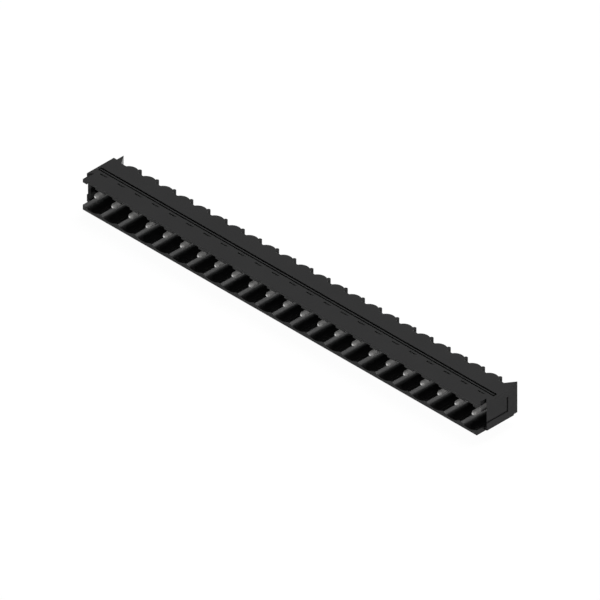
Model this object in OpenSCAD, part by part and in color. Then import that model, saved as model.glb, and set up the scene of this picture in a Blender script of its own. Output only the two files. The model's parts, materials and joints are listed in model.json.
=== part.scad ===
// Right-angle board header: one moulded housing with an open mating pocket at the
// front, and a row of bent contact pins whose tails go down into the circuit board.
// +X runs along the row, +Y points to the back and +Z up from the board.
// The origin is the middle of the row of tails, on the board's surface.

/* [Row] */
// Number of contact pins
poles = 23; // [2:1:24]
// Distance between neighbouring pins
pitch = 5.08; // [4.8:0.01:5.4]

/* [Housing] */
// Height of the roof above the board
housing_h = 7.8; // [7.6:0.05:9]
// Thickness of the roof over the pocket
roof_t = 0.85; // [0.75:0.05:1.1]
// Depth of the mating pocket from the front edge to the back wall
pocket_d = 8.2; // [7:0.1:10]
// Thickness of the back wall that holds the pins
back_wall_t = 1.53; // [1.2:0.01:2.4]
// Thickness of the pocket floor at the crests between the scoops
floor_t = 1.25; // [1.05:0.05:1.5]
// Width of the rounded scoop in the floor under each pin
scoop_w = 4.6; // [3.4:0.1:4.7]
// Depth of that scoop
scoop_depth = 0.65; // [0.3:0.05:0.75]
// Length of floor and roof past the middle of the last pin
end_margin = 2.44; // [2.3:0.02:2.5]

/* [End walls] */
// Room at each end between the plug and the end wall
plug_clear = 0.16; // [0.1:0.02:0.3]
// Thickness of an end wall
end_wall_t = 0.64; // [0.5:0.02:0.9]
// Distance from the front edge to the front of an end wall
end_setback = 2.1; // [1.4:0.1:2.8]
// Length of an end wall from front to back
end_wall_d = 8; // [6.6:0.1:8.2]
// Height of an end wall's lower edge above the board
end_lift = 0.6; // [0.2:0.05:0.9]
// Bevel that leads the plug in at the front of an end wall
entry_bevel = 0.56; // [0.3:0.02:0.6]
// Depth of the sunk panel on the outside of an end wall
panel_sink = 0.2; // [0.1:0.02:0.24]
// Width of the narrow groove that bounds the panel at the bottom and at the back
panel_line = 0.22; // [0.16:0.02:0.3]
// Depth of that groove
panel_groove = 0.36; // [0.26:0.02:0.4]
// Width of the wall left behind the panel
panel_back = 1.7; // [1.2:0.1:2.4]
// Height of the panel's lower edge above the board
panel_low = 2.4; // [1.6:0.1:3.2]
// Height of the panel's upper edge above the board
panel_high = 6.2; // [5:0.1:6.8]

/* [Roof] */
// Width of the coding slot under the roof at each pin
code_w = 2.6; // [1.6:0.1:3.2]
// Height of the coding slot
code_h = 0.42; // [0.3:0.02:0.46]
// Length of the coding slot from the front edge
code_d = 4.3; // [4.2:0.05:4.4]
// Width of the slit in the roof near the end of a coding slot
slit_w = 2.3; // [1.6:0.1:2.4]
// Width of the part of the slit that goes through to the coding slot
slit_hole = 0.8; // [0.5:0.1:1.2]
// Depth of the ramp that rises from there to the other end of the slit
slit_ramp = 0.28; // [0.2:0.02:0.32]
// Length of the slit from front to back
slit_d = 0.34; // [0.2:0.02:0.44]
// Distance from the front edge to that slit
slit_setback = 3.78; // [3:0.02:3.78]
// Distance from the front edge to the groove that runs round the rib on the roof
groove_setback = 4.7; // [4.6:0.01:5]
// Width of the groove in front of the rib
groove_front = 0.34; // [0.2:0.02:0.4]
// Width of the rib
groove_rib = 0.3; // [0.3:0.02:0.6]
// Width of the groove behind the rib
groove_rear = 0.48; // [0.2:0.02:0.6]
// Width of the groove at the ends of the rib
groove_end = 0.3; // [0.2:0.02:0.6]
// Depth of the groove
groove_depth = 0.6; // [0.3:0.02:0.64]
// Distance from the front edge to the relief cut at each end of the roof
relief_setback = 1.2; // [0.8:0.1:1.4]
// How far that relief cut reaches in from the end of the roof
relief_in = 0.28; // [0.2:0.02:0.5]
// Width of the ledge that the relief cut leaves along the entry bevel
relief_ledge = 0.05; // [0.04:0.01:0.2]

/* [Back] */
// Radius of the rounded columns between the pins
column_r = 2.19; // [1.6:0.01:2.2]
// How far a column stands out of the back wall
column_reach = 1.04; // [0.5:0.01:1.2]
// Half the width of the guard rib on each column
guard_r = 0.45; // [0.35:0.05:0.8]
// How far the guard ribs reach past the far side of the tails
guard_past = 0.56; // [0.2:0.02:0.8]
// Height of the guard ribs above the board
guard_h = 6.5; // [5.4:0.1:7]
// How far the end fins reach past the far side of the tails
fin_past = 0.22; // [0.1:0.02:0.5]
// Width of the tip of each end fin
fin_tip = 0.1; // [0.08:0.02:0.3]
// Room between the foot of an end fin and the side of the last pin
fin_room = 0.15; // [0.1:0.01:0.3]

/* [Pins] */
// Width of the octagonal pin across its flats
pin_w = 1.2; // [1:0.05:1.3]
// Height of the pin's axis above the board
pin_h = 3.73; // [3.5:0.01:4.2]
// Distance from the front edge of the pocket back to the pin's tip
pin_setback = 1.2; // [0.6:0.1:2]
// Length of the taper at the tip
tip_len = 0.86; // [0.6:0.02:1.2]
// Length of the steeper bevel at the very end
nose_len = 0.26; // [0.15:0.01:0.4]
// Width of the tip where that bevel begins
nose_w = 0.98; // [0.8:0.02:0.98]
// Width of the flat end of the tip
tip_w = 0.46; // [0.3:0.02:0.6]
// Radius of the bend, measured at the middle of the pin
bend_r = 1.25; // [0.9:0.05:1.3]
// Length of the tail below the board's surface
tail_len = 2.3; // [1.8:0.1:4]
// Length of the taper at the end of the tail
tail_taper = 0.3; // [0.2:0.05:0.5]
// Width of the end of the tail
tail_end_w = 0.8; // [0.6:0.05:0.9]
// Gap between the back wall and the near side of the tails
tail_gap = 0.87; // [0.7:0.01:1]
// Gap all round the pin in its hole through the back wall
press_gap = 0.02; // [0.01:0.01:0.04]

/* [Hidden] */
// Cutters run past the faces that they cut by this much
over = 1;
// Cutters that end inside the pocket stop this far past its floor
skim = 0.1;
// Facets of round surfaces
$fn = 64;

last_x = (poles - 1) * pitch / 2;
body_x = last_x + end_margin;
inner_x = poles * pitch / 2 + plug_clear;
outer_x = inner_x + end_wall_t;

back_y = -pin_w / 2 - tail_gap;
pocket_y = back_y - back_wall_t;
front_y = pocket_y - pocket_d;
guard_y = pin_w / 2 + guard_past;
fin_y = pin_w / 2 + fin_past;
fin_x = last_x + pin_w / 2 + fin_room;
end_y = front_y + end_setback;

contact_len = -bend_r - front_y - pin_setback;
leg_len = pin_h - bend_r + tail_len;
nose_slope = (nose_w - tip_w) / nose_len;
tip_slope = (corner_w(pin_w) - nose_w) / (tip_len - nose_len);
tail_slope = (corner_w(pin_w) - tail_end_w) / tail_taper;

roof_z = housing_h - roof_t;
mouth_x = inner_x + entry_bevel + over;
relief_sum = end_setback + inner_x - body_x + entry_bevel - relief_ledge;
scoop_r = (scoop_w * scoop_w / 4 + scoop_depth * scoop_depth) / (2 * scoop_depth);

function corner_w(w) = w / cos(22.5);
function pole_x(i) = i * pitch - last_x;
function pin_name(i) = str("pin_", i < 9 ? "0" : "", i + 1);

// An octagon of a given width across its flats, with a flat side down
module octagon(w) {
    rotate(22.5) circle(r = corner_w(w) / 2, $fn = 8);
}

// A straight octagonal bar along +Y from the origin
module bar(w, length) {
    rotate([-90, 0, 0]) linear_extrude(length) octagon(w);
}

// A cone along +Y that starts at the origin with width w and widens by slope for each mm
module widening(w, slope, length) {
    rotate([-90, 0, 0]) cylinder(h = length, r1 = w / 2, r2 = (w + slope * length) / 2);
}

// Places its children at every pin
module at_pins() {
    for (i = [0 : poles - 1]) translate([pole_x(i), 0, 0]) children();
}

// Places its children midway between every two neighbouring pins
module between_pins() {
    for (i = [0 : poles - 2]) translate([pole_x(i) + pitch / 2, 0, 0]) children();
}

// Places its children at the right end and, mirrored, at the left end
module at_ends() {
    children();
    mirror([1, 0, 0]) children();
}

// The solid outline of the housing before the pocket is taken out
module housing_block() {
    translate([-body_x, front_y, 0]) cube([2 * body_x, back_y - front_y, housing_h]);
    at_ends() {
        translate([body_x - over, end_y, end_lift])
            cube([outer_x - body_x + over, end_wall_d, housing_h - end_lift]);
        end_fin();
    }
    between_pins() rear_column();
}

// A rounded column on the back wall with the slimmer guard rib that stands on it
module rear_column() {
    translate([0, back_y - column_r + column_reach, 0]) cylinder(h = housing_h, r = column_r);
    translate([0, guard_y - guard_r, 0]) cylinder(h = guard_h, r = guard_r);
    translate([-guard_r, back_y - over, 0])
        cube([2 * guard_r, guard_y - guard_r - back_y + over, guard_h]);
}

// The pointed fin that guards the last tail
module end_fin() {
    linear_extrude(housing_h) polygon([
        [fin_x, back_y],
        [body_x - fin_tip, fin_y],
        [body_x, fin_y],
        [body_x, back_y - over],
        [fin_x, back_y - over]
    ]);
}

// The open mating pocket, wider at its mouth, with a rounded scoop in its floor at each pin
module pocket_cut() {
    translate([0, 0, floor_t]) linear_extrude(roof_z - floor_t) polygon([
        [inner_x, pocket_y],
        [inner_x, end_y + entry_bevel],
        [mouth_x, end_y - over],
        [mouth_x, front_y - over],
        [-mouth_x, front_y - over],
        [-mouth_x, end_y - over],
        [-inner_x, end_y + entry_bevel],
        [-inner_x, pocket_y]
    ]);
    at_pins() intersection() {
        translate([0, front_y - over, floor_t - scoop_depth + scoop_r]) rotate([-90, 0, 0])
            cylinder(h = pocket_d + over, r = scoop_r);
        translate([-pitch, front_y - 2 * over, 0])
            cube([2 * pitch, pocket_d + 3 * over, floor_t + skim]);
    }
}

// The coding slot under the roof and the slit that opens it to the top
module coding_cut() {
    ramp_foot = [slit_hole, -slit_ramp];
    ramp_top = ramp_foot + 2 * ([slit_w, 0] - ramp_foot);
    translate([-code_w / 2, front_y - over, roof_z - skim]) cube([code_w, code_d + over, code_h + skim]);
    translate([-slit_w / 2, front_y + slit_setback + slit_d, housing_h]) rotate([90, 0, 0])
        linear_extrude(slit_d)
            polygon([[0, skim - roof_t], [slit_hole, skim - roof_t], ramp_foot, ramp_top, [0, ramp_top.y]]);
}

// The groove that runs round the long rib on the roof
module groove_cut() {
    translate([0, front_y + groove_setback, housing_h - groove_depth]) difference() {
        translate([-inner_x, 0, 0])
            cube([2 * inner_x, groove_front + groove_rib + groove_rear, groove_depth + over]);
        translate([groove_end - inner_x, groove_front, -over])
            cube([2 * (inner_x - groove_end), groove_rib, groove_depth + 3 * over]);
    }
}

// The sunk panel on the outside of an end wall and the groove below and behind it
module panel_cut() {
    panel_d = end_wall_d - panel_back;
    panel_h = panel_high - panel_low;
    translate([outer_x, end_y - over, panel_low]) {
        translate([-panel_sink, 0, 0]) cube([panel_sink + over, panel_d + over, panel_h]);
        translate([-panel_groove, 0, 0]) cube([panel_groove + over, panel_d + over, panel_line]);
        translate([-panel_groove, panel_d + over - panel_line, 0])
            cube([panel_groove + over, panel_line, panel_h]);
    }
}

// The corner taken out of the roof in front of an end wall, in line with the entry bevel
module relief_cut() {
    translate([body_x, front_y, roof_z - skim]) linear_extrude(roof_t + skim + over) polygon([
        [-relief_in, relief_setback],
        [relief_sum - relief_setback, relief_setback],
        [-relief_in, relief_sum + relief_in]
    ]);
}

module housing() {
    color([0.13, 0.13, 0.135]) difference() {
        housing_block();
        pocket_cut();
        at_pins() {
            coding_cut();
            translate([0, pocket_y - over, pin_h]) bar(pin_w + 2 * press_gap, back_wall_t + 2 * over);
        }
        groove_cut();
        at_ends() {
            panel_cut();
            relief_cut();
        }
    }
}

// The straight contact of a pin, from its twice-bevelled tip to the bend
module contact() {
    intersection() {
        translate([0, -over, 0]) bar(pin_w, contact_len + over);
        widening(tip_w, nose_slope, contact_len + over);
        translate([0, -nose_len, 0])
            widening(nose_w - 2 * nose_len * tip_slope, tip_slope, contact_len + nose_len + over);
    }
}

// The leg of a pin, from its bevelled end up to the bend
module leg() {
    intersection() {
        translate([0, -over, 0]) bar(pin_w, leg_len + over);
        widening(tail_end_w, tail_slope, leg_len + over);
    }
}

// One contact pin: straight contact, bend and solder tail
module pin() {
    color([0.78, 0.77, 0.74]) {
        translate([0, front_y + pin_setback, pin_h]) contact();
        translate([0, -bend_r, pin_h - bend_r]) rotate([0, -90, 0])
            rotate_extrude(angle = 90) translate([bend_r, 0]) octagon(pin_w);
        translate([0, 0, -tail_len]) rotate([90, 0, 0]) leg();
    }
}

housing();
for (i = [0 : poles - 1])
    translate([pole_x(i), 0, 0]) pin();
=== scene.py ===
"""Finishes, studio and camera for a right-angle board header.

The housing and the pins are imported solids. This script gives the housing its moulded
plastic, puts a softly rounded tin-plated pin in place of each plain one, and sets the
part on a pale floor in soft light. One lamp shows only as gloss and casts no shadow: it
gives the sheen in the scoops under the pins. Lengths are in metres, in the frame of the
solids.
"""

from __future__ import annotations

import json
import logging
import math
from dataclasses import dataclass, field
from enum import Enum
from typing import Any, Sequence, Union

import bpy
import numpy as np
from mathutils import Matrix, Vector

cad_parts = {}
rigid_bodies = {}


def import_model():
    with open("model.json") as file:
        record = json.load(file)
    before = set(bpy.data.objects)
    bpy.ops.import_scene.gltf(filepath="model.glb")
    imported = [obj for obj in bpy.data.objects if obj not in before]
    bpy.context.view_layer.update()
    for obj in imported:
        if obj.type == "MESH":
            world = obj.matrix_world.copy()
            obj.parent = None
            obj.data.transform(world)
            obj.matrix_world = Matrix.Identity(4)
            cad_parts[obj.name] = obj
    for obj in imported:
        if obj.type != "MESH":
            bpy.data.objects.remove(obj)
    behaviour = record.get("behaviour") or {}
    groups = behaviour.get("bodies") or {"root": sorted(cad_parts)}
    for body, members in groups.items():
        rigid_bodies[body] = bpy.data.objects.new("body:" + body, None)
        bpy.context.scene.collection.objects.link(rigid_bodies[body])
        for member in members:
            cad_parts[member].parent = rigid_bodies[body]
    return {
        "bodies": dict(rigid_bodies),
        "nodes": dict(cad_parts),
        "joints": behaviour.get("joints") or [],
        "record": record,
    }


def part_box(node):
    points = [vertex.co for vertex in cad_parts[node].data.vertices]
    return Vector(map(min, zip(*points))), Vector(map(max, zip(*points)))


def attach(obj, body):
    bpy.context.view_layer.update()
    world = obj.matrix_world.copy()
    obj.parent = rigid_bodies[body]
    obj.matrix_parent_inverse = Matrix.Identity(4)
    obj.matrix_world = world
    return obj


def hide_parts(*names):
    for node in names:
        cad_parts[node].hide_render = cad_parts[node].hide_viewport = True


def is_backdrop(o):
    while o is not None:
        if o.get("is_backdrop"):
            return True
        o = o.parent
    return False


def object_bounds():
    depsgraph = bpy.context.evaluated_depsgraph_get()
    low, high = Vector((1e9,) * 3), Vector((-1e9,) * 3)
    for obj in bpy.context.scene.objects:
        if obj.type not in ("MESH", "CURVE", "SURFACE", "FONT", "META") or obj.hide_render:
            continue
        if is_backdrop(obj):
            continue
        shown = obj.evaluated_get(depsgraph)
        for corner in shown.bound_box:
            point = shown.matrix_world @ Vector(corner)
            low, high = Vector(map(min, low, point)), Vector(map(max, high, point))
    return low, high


MM = 0.001
PIN_PREFIX = "pin_"
LOG = logging.getLogger("board_header")

Colour = tuple[float, float, float]

WHITE: Colour = (1.0, 1.0, 1.0)
NOISE_MIDDLE = 0.5


class Slot(Enum):
    """Material slots of the record."""

    HOUSING = "housing_plastic"
    PIN = "tinned_pin"


class Sock:
    """An output socket that takes part in Python arithmetic.

    Each operator adds one Math node to the socket's tree.
    """

    def __init__(self, graph: Graph, socket: bpy.types.NodeSocket | None) -> None:
        """Keeps the graph and the socket."""
        self.graph = graph
        self.socket = socket

    def _math(self, operation: str, first: Value, second: Value) -> Sock:
        """Adds a Math node.

        Args:
            operation: Blender's name of the operation.
            first: The first operand.
            second: The second operand.

        Returns:
            The node's value.
        """
        return self.graph.node("ShaderNodeMath", {"operation": operation}, [first, second])

    def __add__(self, other: Value) -> Sock:
        """Sum."""
        return self._math("ADD", self, other)

    __radd__ = __add__

    def __sub__(self, other: Value) -> Sock:
        """Difference."""
        return self._math("SUBTRACT", self, other)

    def __rsub__(self, other: Value) -> Sock:
        """Difference with the operands the other way round."""
        return self._math("SUBTRACT", other, self)

    def __mul__(self, other: Value) -> Sock:
        """Product."""
        return self._math("MULTIPLY", self, other)

    __rmul__ = __mul__

    def maximum(self, other: Value) -> Sock:
        """The larger of the two values."""
        return self._math("MAXIMUM", self, other)

    def below(self, limit: Value) -> Sock:
        """1 where the value is less than the limit, and 0 elsewhere."""
        return self._math("LESS_THAN", self, limit)


Value = Union[Sock, int, float]


class Graph:
    """A material's or world's node tree that is built from expressions."""

    # A Mix node has sockets for every kind of data. These are the ones that mix colours.
    MIX_FACTOR, MIX_FIRST, MIX_SECOND, MIX_RESULT = 0, 6, 7, 2

    def __init__(self, owner: bpy.types.Material | bpy.types.World) -> None:
        """Empties the owner's node tree.

        Args:
            owner: The material or world whose nodes are made here.
        """
        owner.use_nodes = True
        self.tree = owner.node_tree
        self.tree.nodes.clear()

    def node(
        self,
        kind: str,
        settings: dict[str, Any] | None = None,
        inputs: dict[str | int, Any] | Sequence[Any] | None = None,
        output: str | int = 0,
    ) -> Sock:
        """Adds one node.

        Args:
            kind: The node's type.
            settings: Properties that are set before the sockets.
            inputs: Values or links of the sockets, by name or number or in order.
            output: The output that is returned.

        Returns:
            The chosen output.
        """
        made = self.tree.nodes.new(kind)
        for name, value in (settings or {}).items():
            setattr(made, name, value)
        pairs = inputs.items() if isinstance(inputs, dict) else enumerate(inputs or [])
        for key, value in pairs:
            if isinstance(value, Sock):
                self.tree.links.new(value.socket, made.inputs[key])
            else:
                made.inputs[key].default_value = value
        return Sock(self, made.outputs[output] if len(made.outputs) else None)

    def mix(self, factor: Value, first: Any, second: Any) -> Sock:
        """Mixes two colours.

        Args:
            factor: Share of the second colour.
            first: Colour or socket at factor 0.
            second: Colour or socket at factor 1.

        Returns:
            The mixed colour.
        """
        return self.node(
            "ShaderNodeMix",
            {"data_type": "RGBA"},
            {self.MIX_FACTOR: factor, self.MIX_FIRST: first, self.MIX_SECOND: second},
            output=self.MIX_RESULT,
        )

    def seen_directly(self) -> Sock:
        """Tells the rays that see a surface from those that it lights.

        Returns:
            1 for rays from the camera, mirrors and clear things, and 0 for the others.
        """
        camera = self.node("ShaderNodeLightPath", output="Is Camera Ray")
        glossy = self.node("ShaderNodeLightPath", output="Is Glossy Ray")
        clear = self.node("ShaderNodeLightPath", output="Is Transmission Ray")
        return camera.maximum(glossy).maximum(clear)


def rgba(colour: Colour) -> tuple[float, float, float, float]:
    """A colour with full alpha."""
    return (*colour, 1.0)


@dataclass(frozen=True)
class Mottle:
    """A noise in layers, each finer than the last and a share as strong."""

    per_m: float
    layers: float
    share: float = 0.5

    def values(self, graph: Graph, place: Sock) -> Sock:
        """Adds the noise to a finish.

        Args:
            graph: The finish's nodes.
            place: The position on the piece.

        Returns:
            The noise, which varies about its middle value.
        """
        return graph.node(
            "ShaderNodeTexNoise",
            inputs={
                "Vector": place,
                "Scale": self.per_m,
                "Detail": self.layers,
                "Roughness": self.share,
            },
        )


@dataclass(frozen=True)
class MouldedPlastic:
    """Black moulded plastic with a fine spark-eroded grain.

    The grain is a fine noise that dents the surface. A slower noise, like the flow of the
    plastic, varies the gloss, and the two together vary the tone.
    """

    name: str = "moulded_plastic"
    dark: Colour = (0.0165, 0.0165, 0.0167)
    light: Colour = (0.0207, 0.0207, 0.0209)
    roughness: float = 0.25
    roughness_swing: float = 0.10
    specular: float = 0.08
    grain: Mottle = Mottle(per_m=5200.0, layers=3.0, share=0.6)
    flow: Mottle = Mottle(per_m=160.0, layers=2.0)
    grain_share: float = 0.5
    grain_depth: float = 0.012 * MM
    grain_strength: float = 0.25

    def material(self) -> bpy.types.Material:
        """Builds the finish.

        Returns:
            The material.
        """
        made = bpy.data.materials.new(self.name)
        graph = Graph(made)
        place = graph.node("ShaderNodeTexCoord", output="Object")
        grain = self.grain.values(graph, place)
        flow = self.flow.values(graph, place)
        blend = grain * self.grain_share + flow * (1.0 - self.grain_share)
        tone = graph.mix(blend, rgba(self.dark), rgba(self.light))
        gloss = (flow - NOISE_MIDDLE) * self.roughness_swing + self.roughness
        dents = graph.node(
            "ShaderNodeBump",
            inputs={
                "Strength": self.grain_strength,
                "Distance": self.grain_depth,
                "Height": grain,
            },
        )
        shader = graph.node(
            "ShaderNodeBsdfPrincipled",
            inputs={
                "Base Color": tone,
                "Roughness": gloss,
                "Specular IOR Level": self.specular,
                "Normal": dents,
            },
        )
        graph.node("ShaderNodeOutputMaterial", inputs={"Surface": shader})
        return made


@dataclass(frozen=True)
class TinPlate:
    """Matt tin plating: a pale metal, slightly cloudy, with fine drawing marks.

    The flat end of the tip is coined, so smoother, and its paler colour is a painted
    highlight.
    """

    name: str = "tin_plate"
    bright: Colour = (0.32, 0.318, 0.314)
    cloudy: Colour = (0.256, 0.254, 0.250)
    metallic: float = 1.0
    roughness: float = 0.78
    roughness_swing: float = 0.12
    # Painted highlight: the paler colour of the tip's flat end.
    painted_tip_highlight: Colour = (0.50, 0.498, 0.492)
    coined_roughness: float = 0.45
    tip_end_depth: float = 0.03 * MM
    cloud: Mottle = Mottle(per_m=900.0, layers=3.0, share=0.55)
    marks: Mottle = Mottle(per_m=7000.0, layers=2.0)
    mark_depth: float = 0.006 * MM
    mark_strength: float = 0.2

    def material(self, tip_y: float) -> bpy.types.Material:
        """Builds the finish.

        Args:
            tip_y: Where the flat ends of the tips lie.

        Returns:
            The material.
        """
        made = bpy.data.materials.new(self.name)
        graph = Graph(made)
        place = graph.node("ShaderNodeTexCoord", output="Object")
        cloud = self.cloud.values(graph, place)
        marks = self.marks.values(graph, place)
        along = graph.node("ShaderNodeSeparateXYZ", inputs={"Vector": place}, output="Y")
        # Mask of the tip's flat end: it gets a painted highlight as a paler colour, and a
        # lower roughness.
        end = along.below(tip_y + self.tip_end_depth)
        plated = graph.mix(cloud, rgba(self.bright), rgba(self.cloudy))
        # Painted highlight: the tip's flat end is mixed to the paler colour.
        tone = graph.mix(end, plated, rgba(self.painted_tip_highlight))
        worn = (cloud - NOISE_MIDDLE) * self.roughness_swing + self.roughness
        gloss = end * (self.coined_roughness - worn) + worn
        dents = graph.node(
            "ShaderNodeBump",
            inputs={
                "Strength": self.mark_strength,
                "Distance": self.mark_depth,
                "Height": marks,
            },
        )
        shader = graph.node(
            "ShaderNodeBsdfPrincipled",
            inputs={
                "Base Color": tone,
                "Roughness": gloss,
                "Metallic": self.metallic,
                "Normal": dents,
            },
        )
        graph.node("ShaderNodeOutputMaterial", inputs={"Surface": shader})
        return made


@dataclass(frozen=True)
class PalePaper:
    """White studio paper: matt, with a share of its own white where it is seen directly."""

    name: str = "pale_paper"
    bright: Colour = (0.52, 0.52, 0.52)
    fibre: Colour = (0.50, 0.50, 0.50)
    fibres: Mottle = Mottle(per_m=90.0, layers=4.0)
    roughness: float = 0.9
    own_white: float = 0.92
    glow: float = 1.05

    def material(self) -> bpy.types.Material:
        """Builds the finish.

        Returns:
            The material.
        """
        made = bpy.data.materials.new(self.name)
        graph = Graph(made)
        place = graph.node("ShaderNodeTexCoord", output="Object")
        fibres = self.fibres.values(graph, place)
        tone = graph.mix(fibres, rgba(self.bright), rgba(self.fibre))
        paper = graph.node(
            "ShaderNodeBsdfDiffuse", inputs={"Color": tone, "Roughness": self.roughness}
        )
        white = graph.node(
            "ShaderNodeEmission", inputs={"Color": rgba(WHITE), "Strength": self.glow}
        )
        share = graph.seen_directly() * self.own_white
        shown = graph.node("ShaderNodeMixShader", inputs=[share, paper, white])
        graph.node("ShaderNodeOutputMaterial", inputs={"Surface": shown})
        return made


def new_piece(
    name: str, points: np.ndarray, faces: list[tuple[int, ...]]
) -> bpy.types.Object:
    """Makes a mesh object at the origin.

    Args:
        name: The object's name.
        points: Vertex positions, one row each.
        faces: Vertex numbers of each face, anticlockwise from outside.

    Returns:
        The object, linked to the scene.
    """
    mesh = bpy.data.meshes.new(name)
    mesh.from_pydata(points.tolist(), [], faces)
    mesh.validate()
    mesh.update()
    made = bpy.data.objects.new(name, mesh)
    bpy.context.scene.collection.objects.link(made)
    return made


def tube_faces(rings: int, count: int) -> list[tuple[int, ...]]:
    """Faces of a closed tube: a band of quads between rings and one face at each end.

    Args:
        rings: Number of rings.
        count: Points in each ring.

    Returns:
        Vertex numbers of each face.
    """
    ring, step = np.meshgrid(np.arange(rings - 1), np.arange(count), indexing="ij")
    here = ring * count + step
    beside = ring * count + (step + 1) % count
    quads = np.stack([here, here + count, beside + count, beside], axis=-1).reshape(-1, 4)
    start = tuple(range(count))
    end = tuple(reversed(range((rings - 1) * count, rings * count)))
    return [tuple(quad) for quad in quads.tolist()] + [start, end]


@dataclass
class Housing:
    """The moulded housing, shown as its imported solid."""

    node: str = "housing"
    finish: MouldedPlastic = field(default_factory=MouldedPlastic)

    def dress(self, frame: dict[str, Any]) -> bpy.types.Object:
        """Gives the solid its plastic.


        Returns:
            The housing's object.
        """
        solid = frame["nodes"][self.node]
        solid.data.materials.clear()
        solid.data.materials.append(self.finish.material())
        return solid


@dataclass
class ContactPin:
    """One bent contact pin: an octagonal wire with soft corners, carried along its path.

    The path runs from the tip along +Y, turns through a quarter circle and goes down to
    the end of the tail. The tip is a round-nosed point, and the tail is bevelled.
    """

    node: str
    sides: int = 8
    width: float = 1.2 * MM
    corner_power: float = 36.0
    tip_width: float = 0.46 * MM
    tip_length: float = 0.86 * MM
    tail_width: float = 0.8 * MM
    tail_taper: float = 0.3 * MM
    bend_radius: float = 1.25 * MM
    tip_steps: int = 12
    tip_crowding: float = 1.5
    bend_steps: int = 14
    tail_steps: int = 4
    round_steps: int = 64
    sharp_angle: float = math.radians(35.0)

    def corner_radius(self) -> float:
        """Distance from the axis to a sharp corner of the octagon."""
        return self.width / 2 / math.cos(math.pi / self.sides)

    def outline(self, angle: np.ndarray) -> np.ndarray:
        """Radius of the octagon with soft corners.

        The radius is the half width over the p-th root of a sum: the cosine to each flat
        that faces the angle, to the power p, added over the eight flats. A higher power p
        gives sharper corners.

        Args:
            angle: Angles round the axis.

        Returns:
            Radius at each angle.
        """
        flats = np.arange(self.sides) * math.tau / self.sides
        facing = np.clip(np.cos(angle[:, None] - flats[None, :]), 0.0, None)
        total = (facing**self.corner_power).sum(axis=1)
        return self.width / 2 / total ** (1 / self.corner_power)

    def nose(self, along: np.ndarray) -> np.ndarray:
        """Radius that the pointed tip leaves: an arc that meets the wire without a kink.

        With L the tip's length and d the drop in radius, the arc's radius is
        (L * L + d * d) / (2 * d), and its centre stands level with the wire's start.

        Args:
            along: Distances from the tip's flat end, up to the tip's length.

        Returns:
            Radius at each distance.
        """
        full = self.corner_radius()
        drop = full - self.tip_width / 2
        arc = (self.tip_length**2 + drop**2) / (2 * drop)
        return full - arc + np.sqrt(arc**2 - (self.tip_length - along) ** 2)

    def stations(
        self, low: Vector, high: Vector
    ) -> tuple[np.ndarray, np.ndarray, np.ndarray]:
        """Centres, leans and largest radii of the outlines along the path.

        The stations in the tip crowd towards its flat end by a power. In the bend, with R
        its radius and t the turn, y is the tail's y less R * (1 - sin t), and z the wire's
        height less R * (1 - cos t). On the tail's bevel the radius grows evenly upwards.

        Args:
            low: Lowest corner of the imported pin's box.
            high: Highest corner of that box.

        Returns:
            Centres (n by 3), turn of the path (n) and largest radius (n).
        """
        wire_z = high.z - self.width / 2
        tail_y = high.y - self.width / 2
        full = self.corner_radius()
        end = self.tail_width / 2
        run = self.tip_length * np.linspace(0.0, 1.0, self.tip_steps) ** self.tip_crowding
        turn = np.linspace(0.0, math.pi / 2, self.bend_steps)
        rise = self.tail_taper * np.linspace(1.0, 0.0, self.tail_steps)
        bend_y = tail_y - self.bend_radius * (1 - np.sin(turn))
        bend_z = wire_z - self.bend_radius * (1 - np.cos(turn))
        bevel = end + (full - end) * rise / self.tail_taper
        x = np.full(len(run) + len(turn) + len(rise), (low.x + high.x) / 2)
        y = np.concatenate([low.y + run, bend_y, np.full_like(rise, tail_y)])
        z = np.concatenate([np.full_like(run, wire_z), bend_z, low.z + rise])
        lean = np.concatenate([np.zeros_like(run), turn, np.full_like(rise, math.pi / 2)])
        limit = np.concatenate([self.nose(run), np.full_like(turn, full), bevel])
        return np.column_stack([x, y, z]), lean, limit

    def build(self) -> bpy.types.Object:
        """Carries the outline along the path.

        A point is centre + r * (cos(angle) * X + sin(angle) * U). U is the path's up
        direction, and r the smaller of the outline's radius and the station's limit.

        Returns:
            The pin's object.
        """
        centres, lean, limit = self.stations(*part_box(self.node))
        angle = np.arange(self.round_steps) * math.tau / self.round_steps
        radius = np.minimum(self.outline(angle)[None, :], limit[:, None])
        across = np.array([1.0, 0.0, 0.0])
        up = np.column_stack([np.zeros_like(lean), np.sin(lean), np.cos(lean)])
        cosine, sine = np.cos(angle)[None, :, None], np.sin(angle)[None, :, None]
        spoke = cosine * across + sine * up[:, None, :]
        points = (centres[:, None, :] + radius[:, :, None] * spoke).reshape(-1, 3)
        faces = tube_faces(len(centres), self.round_steps)
        made = new_piece(self.node + "_tinned", points, faces)
        made.data.shade_smooth()
        made.data.set_sharp_from_angle(angle=self.sharp_angle)
        return made

    def dress(self, made: bpy.types.Object, finish: bpy.types.Material) -> None:
        """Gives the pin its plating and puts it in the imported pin's place.

        Args:
            made: The pin's object.
            finish: The plating.
        """
        made.data.materials.append(finish)
        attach(made, "root")
        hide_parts(self.node)


@dataclass(frozen=True)
class Stand:
    """Where a lamp or camera stands, as seen from the point that it looks at.

    The azimuth is in degrees round from -Y towards +X, and the elevation in degrees up.
    """

    azimuth: float
    elevation: float
    distance: float

    def hold(self, made: bpy.types.Object, target: Vector) -> None:
        """Puts an object there, looking at the target, and links it to the scene.

        Args:
            made: The lamp or camera.
            target: The point that it looks at.
        """
        a, e = math.radians(self.azimuth), math.radians(self.elevation)
        back = Vector((math.sin(a) * math.cos(e), -math.cos(a) * math.cos(e), math.sin(e)))
        made.location = target + back * self.distance
        made.rotation_euler = (-back).to_track_quat("-Z", "Y").to_euler()
        bpy.context.scene.collection.objects.link(made)


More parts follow.
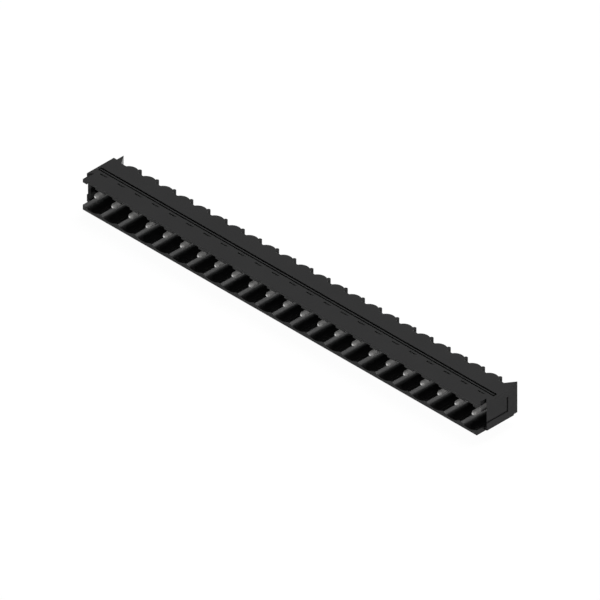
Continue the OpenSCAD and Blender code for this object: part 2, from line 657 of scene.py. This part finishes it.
@dataclass(frozen=True)
class SoftBox:
    """A square soft lamp that looks at the part.

    A lamp for gloss only shows as a sheen on smooth surfaces. It casts no shadow and
    leaves matt colour as it is.
    """

    name: str
    stand: Stand
    side: float
    watts: float
    gloss_only: bool = False

    def place(self, target: Vector) -> bpy.types.Object:
        """Sets the lamp up.

        Args:
            target: The point that it looks at.

        Returns:
            The lamp's object.
        """
        lamp = bpy.data.lights.new(self.name, "AREA")
        lamp.shape = "SQUARE"
        lamp.size = self.side
        lamp.energy = self.watts
        made = bpy.data.objects.new(self.name, lamp)
        if self.gloss_only:
            lamp.use_shadow = False
            lamp.cycles.use_multiple_importance_sampling = False
            made.visible_diffuse = False
        self.stand.hold(made, target)
        return made


@dataclass
class Studio:
    """Floor, light and camera."""

    floor_half: float = 1.5
    floor_z: float = 0.0
    sky: float = 0.06
    mirrored_sky: float = 0.5
    paper: PalePaper = field(default_factory=PalePaper)
    lamps: tuple[SoftBox, ...] = (
        SoftBox(
            "side_softbox",
            Stand(azimuth=70.0, elevation=8.0, distance=1.2),
            side=0.04,
            watts=6.6,
        ),
        SoftBox(
            "front_softbox",
            Stand(azimuth=-15.0, elevation=4.0, distance=1.2),
            side=0.09,
            watts=5.3,
        ),
        SoftBox(
            "top_softbox",
            Stand(azimuth=170.0, elevation=74.0, distance=1.0),
            side=0.5,
            watts=13.8,
        ),
        SoftBox(
            "gloss_softbox",
            Stand(azimuth=169.3, elevation=54.2, distance=5.0),
            side=1.25,
            watts=73.0,
            gloss_only=True,
        ),
    )
    camera_stand: Stand = Stand(azimuth=45.0, elevation=35.0, distance=0.5)
    view_width: float = 125.6 * MM
    near_clip: float = 0.001
    far_clip: float = 10.0
    target: Vector = field(default_factory=lambda: Vector((1.265, -6.475, 4.036)) * MM)

    def build_floor(self) -> bpy.types.Object:
        """A flat sheet of paper under the part: four corners at the floor's height.

        Returns:
            The floor's object.
        """
        corner = np.array([[-1, -1], [1, -1], [1, 1], [-1, 1]]) * self.floor_half
        points = np.column_stack([corner, np.full(len(corner), self.floor_z)])
        made = new_piece("studio_floor", points, [(0, 1, 2, 3)])
        made.data.materials.append(self.paper.material())
        made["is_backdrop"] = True
        return made

    def build_sky(self) -> None:
        """An even sky: white to the camera, dimmer in mirrors and dim where it lights."""
        world = bpy.data.worlds.new("studio_sky")
        bpy.context.scene.world = world
        graph = Graph(world)
        camera = graph.node("ShaderNodeLightPath", output="Is Camera Ray")
        mirror = graph.node("ShaderNodeLightPath", output="Is Glossy Ray")
        to_camera, to_mirror = 1.0 - self.sky, self.mirrored_sky - self.sky
        strength = camera * to_camera + mirror * to_mirror + self.sky
        light = graph.node(
            "ShaderNodeBackground", inputs={"Color": rgba(WHITE), "Strength": strength}
        )
        graph.node("ShaderNodeOutputWorld", inputs={"Surface": light})

    def build_camera(self) -> bpy.types.Object:
        """A parallel-view camera at the photograph's angle.

        Returns:
            The camera's object.
        """
        lens = bpy.data.cameras.new("studio_camera")
        lens.type = "ORTHO"
        lens.ortho_scale = self.view_width
        lens.clip_start, lens.clip_end = self.near_clip, self.far_clip
        made = bpy.data.objects.new("studio_camera", lens)
        self.camera_stand.hold(made, self.target)
        bpy.context.scene.camera = made
        return made

    def build(self) -> None:
        """Builds the floor, the sky, the lamps and the camera."""
        bpy.context.scene.view_settings.view_transform = "Standard"
        self.build_floor()
        self.build_sky()
        for lamp in self.lamps:
            lamp.place(self.target)
        self.build_camera()


def main() -> None:
    """Loads the solids, dresses them and sets up the studio."""
    logging.basicConfig(level=logging.INFO, format="%(name)s: %(message)s")
    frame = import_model()
    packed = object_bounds()
    housing = Housing().dress(frame)
    LOG.info("housing: %d faces", len(housing.data.polygons))
    pins = sorted(name for name in frame["nodes"] if name.startswith(PIN_PREFIX))
    plating = TinPlate().material(tip_y=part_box(pins[0])[0].y)
    for node in pins:
        pin = ContactPin(node)
        made = pin.build()
        pin.dress(made, plating)
        LOG.info("%s: %d faces", made.name, len(made.data.polygons))
    Studio(floor_z=packed[0].z).build()


if __name__ == "__main__":
    main()
